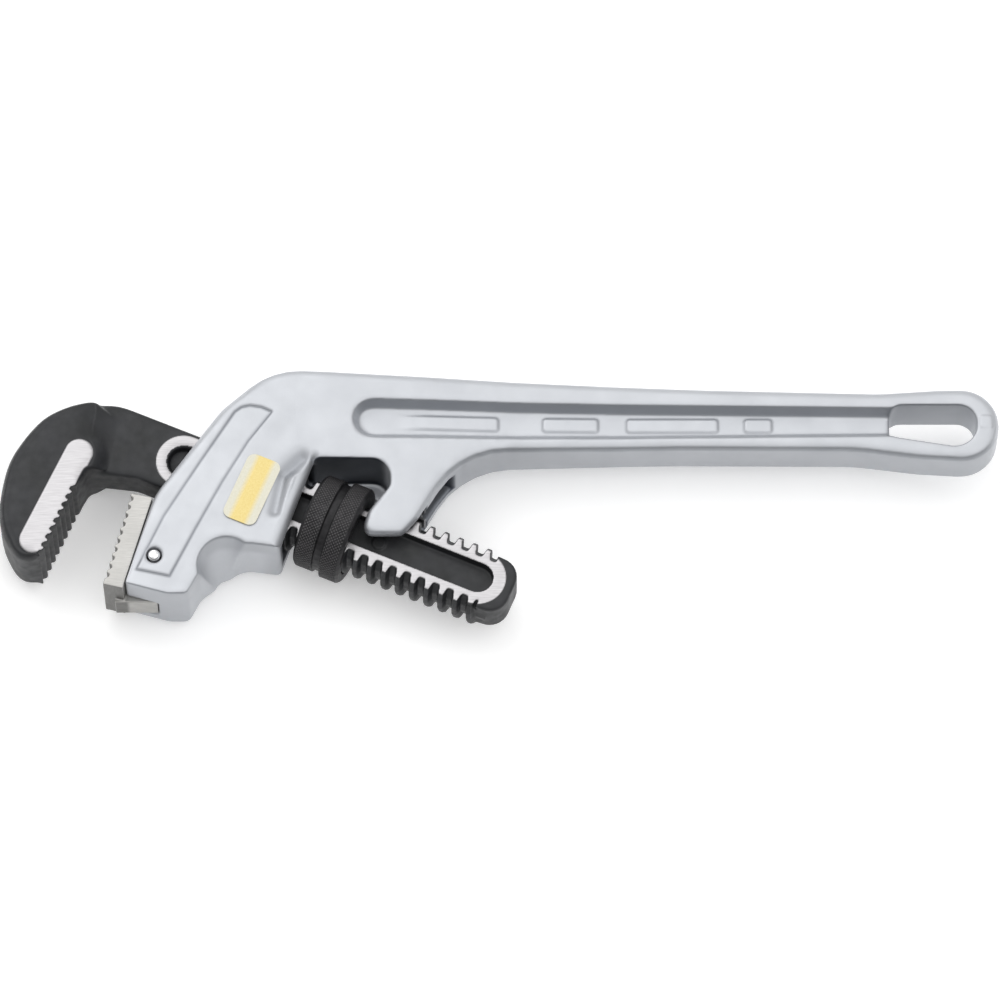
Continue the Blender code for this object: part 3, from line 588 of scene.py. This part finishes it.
def hook(finish):
    """The hook jaw: forged skin rounded off, the pads and the rims of the channel ground bright."""
    obj, skin = refined("hook_jaw", "hook_jaw_forging")
    s, t = screw_frame(skin.points)
    teeth = step(TOOTH_ROOT_S - 2.2, TOOTH_ROOT_S - 0.8, s) * step(-20.0, -23.0, t)
    thread = step(THREAD_START - 1.0, THREAD_START + 1.0, s)
    crisp = np.maximum(teeth * step(-78.0, -80.0, s), thread)
    skin.smooth(30, 0.5 * (1.0 - crisp))
    skin.smooth(2, np.full(skin.count, 0.4))
    round_outline(skin)
    s, t = screw_frame(skin.points)
    pad_away, _ = segment_distance(s, t, *JAW_PAD)
    shape_shoulder(skin, s, pad_away, crisp)
    normal = skin.normals()
    z = skin.points[:, 2]
    facing = step(0.80, 0.95, np.abs(normal[:, 2]))

    # Level drop round the ground pad of the head.
    head = (s < -70.0) & (np.abs(z) > JAW_HALF - 2.0)
    skin.points[:, 2] -= np.sign(z) * head * facing * JAW_PAD_DROP * step(4.3, 5.0, pad_away)
    pad = step(4.75, 4.45, pad_away)
    ground = facing * (np.where(head, pad, 0.0) + channel_rim(s, t, z))

    # Round forging boss on the floor of the channel.
    boss_s, boss_t = BOSS
    boss_away = np.hypot(s - boss_s, t - boss_t)
    on_floor = (np.abs(z) < SHANK_HALF - 2.0) & (np.abs(z) > SHANK_HALF - 5.0)
    skin.points[:, 2] += np.sign(z) * on_floor * facing * BOSS_RISE * step(2.6, 2.0, boss_away)
    skin.paint("ground", np.clip(ground, 0.0, 1.0))
    skin.write()
    dress(obj, finish, "hook", "hook_jaw")


def nut(finish):
    """The adjusting nut with diamond knurling on its two bands."""
    obj, skin = refined("adjusting_nut", "knurled_nut")
    skin.smooth(2, np.full(skin.count, 0.5))
    s, t = screw_frame(skin.points)
    z = skin.points[:, 2]
    radius = np.hypot(t, z)
    angle = np.arctan2(z, t)
    turns = round(2.0 * math.pi * NUT_RADIUS / KNURL_PITCH)
    around = angle / (2.0 * math.pi) * turns
    first = np.abs((around + s / KNURL_PITCH) % 1.0 - 0.5) * 2.0
    second = np.abs((around - s / KNURL_PITCH) % 1.0 - 0.5) * 2.0
    diamond = np.minimum(1.0 - first ** 2, 1.0 - second ** 2)
    band = step(NUT_GROOVE_HALF + 0.1, NUT_GROOVE_HALF + 0.5, np.abs(s))
    band *= step(NUT_HALF_LENGTH - 0.7, NUT_HALF_LENGTH - 1.2, np.abs(s))
    band *= step(NUT_RADIUS - NUT_STEP - 0.7, NUT_RADIUS - NUT_STEP - 0.4, radius)
    sink = band * KNURL_DEPTH * (1.0 - diamond)
    shrink = (radius - sink) / np.maximum(radius, 1e-6)
    skin.points[:, 2] = z * shrink
    skin.points[:, :2] = s[:, None] * ALONG + (t * shrink)[:, None] * ACROSS
    # Painted highlight on the crests of the knurling.
    skin.paint("crest", band * step(0.55, 0.95, diamond))
    skin.write()
    dress(obj, finish, "nut", "adjusting_nut")


def heel(finish):
    """The heel jaw, its machined edges just broken and painted shade on its faces turned to -Y, faint
    on the tang.
    """
    obj, skin = refined("heel_jaw", "heel_jaw_insert")
    skin.smooth(1, np.full(skin.count, 0.3))
    tang = step(*TANG_START_X, skin.points[:, 0])
    # Painted shade on faces turned to -Y, only 15 per cent of it on the tang.
    skin.paint("dull_and_painted_shade", step(0.5, 0.9, -skin.normals()[:, 1]) * (1.0 - 0.85 * tang))
    dress(obj, finish, "handle", "heel_jaw")


def dress(obj, finish, body, node):
    """Gives a piece its finish and its body, and hides the CAD node that it replaces."""
    obj.data.materials.append(finish)
    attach(obj, body)
    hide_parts(node)


def keep(node, finish, bevel):
    """Keeps a CAD node, with its own finish and its edges broken."""
    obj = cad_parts[node]
    obj.data.materials.clear()
    obj.data.materials.append(finish)
    edge = obj.modifiers.new("broken_edges", "BEVEL")
    edge.width = bevel * MM
    edge.segments = 2
    edge.limit_method = "ANGLE"
    edge.angle_limit = math.radians(40.0)


# ---------------------------------------------------------------- studio


def area_light(name, place, target, size, power):
    data = bpy.data.lights.new(name, "AREA")
    data.shape = "RECTANGLE"
    data.size, data.size_y = size
    data.energy = power
    light = bpy.data.objects.new(name, data)
    light.location = place
    light.rotation_euler = (Vector(target) - Vector(place)).to_track_quat("-Z", "Y").to_euler()
    bpy.context.scene.collection.objects.link(light)


def soft_world():
    """White surroundings, brightest overhead."""
    world = bpy.data.worlds.new("studio")
    world.use_nodes = True
    tree = world.node_tree
    background = tree.nodes["Background"]
    background.inputs["Color"].default_value = (1.0, 1.0, 1.0, 1.0)
    direction = tree.nodes.new("ShaderNodeTexCoord").outputs["Generated"]
    height = tree.nodes.new("ShaderNodeVectorMath")
    height.operation = "DOT_PRODUCT"
    height.inputs[1].default_value = BRIGHT_SIDE
    tree.links.new(direction, height.inputs[0])
    glow = tree.nodes.new("ShaderNodeMapRange")
    glow.inputs["From Min"].default_value = -0.1
    glow.inputs["From Max"].default_value = 0.75
    glow.inputs["To Min"].default_value = 0.15
    glow.inputs["To Max"].default_value = 1.0
    tree.links.new(height.outputs["Value"], glow.inputs["Value"])
    tree.links.new(glow.outputs["Result"], background.inputs["Strength"])
    return world


def floor_plane():
    half = FLOOR_HALF
    plane = bpy.data.meshes.new("floor")
    corners = [(-half, -half, 0.0), (half, -half, 0.0), (half, half, 0.0), (-half, half, 0.0)]
    plane.from_pydata(corners, [], [(0, 1, 2, 3)])
    floor = bpy.data.objects.new("floor", plane)
    floor.location.z = -FLOOR_DROP
    plane.materials.append(floor_paint())
    bpy.context.scene.collection.objects.link(floor)


def camera_above():
    """Camera over the front of the head, tilted towards the teeth side."""
    target = Vector((np.array((*CAMERA_TARGET, 0.0)) + LAYOUT_ORIGIN) * MM)
    data = bpy.data.cameras.new("camera")
    data.lens = CAMERA_LENS
    data.sensor_width = 36.0
    data.clip_end = 10.0
    camera = bpy.data.objects.new("camera", data)
    away = Vector((0.0, -math.sin(CAMERA_TILT), math.cos(CAMERA_TILT)))
    camera.location = target + away * CAMERA_DISTANCE
    camera.rotation_euler = (CAMERA_TILT, 0.0, 0.0)
    bpy.context.scene.collection.objects.link(camera)
    return camera


def studio():
    scene = bpy.context.scene
    scene.view_settings.view_transform = "Standard"
    scene.world = soft_world()
    floor_plane()
    area_light("key", (-0.5, 0.75, 1.2), LIGHT_TARGET, (1.4, 1.2), 6.0)
    area_light("fill", (0.6, -0.3, 1.4), LIGHT_TARGET, (1.6, 1.4), 5.0)
    scene.camera = camera_above()


casting(cast_aluminium())
hook(forged_black())
nut(knurled_steel())
heel(machined_steel("jaw_steel", (0.38, 0.375, 0.36), (0.55, 0.54, 0.52), 0.42, 0.0))
pin_steel = machined_steel("pin_steel", (0.72, 0.72, 0.73), (0.85, 0.85, 0.86), 0.2, 0.0)
keep("heel_jaw_pin", pin_steel, 0.08)
spring_steel = machined_steel("spring_steel", (0.16, 0.16, 0.17), (0.26, 0.26, 0.27), 0.34, -TILT)
keep("coil_spring", spring_steel, 0.05)
keep("flat_spring", spring_steel, 0.12)
rivet_steel = machined_steel("rivet_steel", (0.45, 0.45, 0.46), (0.6, 0.6, 0.61), 0.3, 0.0)
keep("spring_rivet", rivet_steel, 0.08)
keep("label", label_film(), 0.04)
studio()
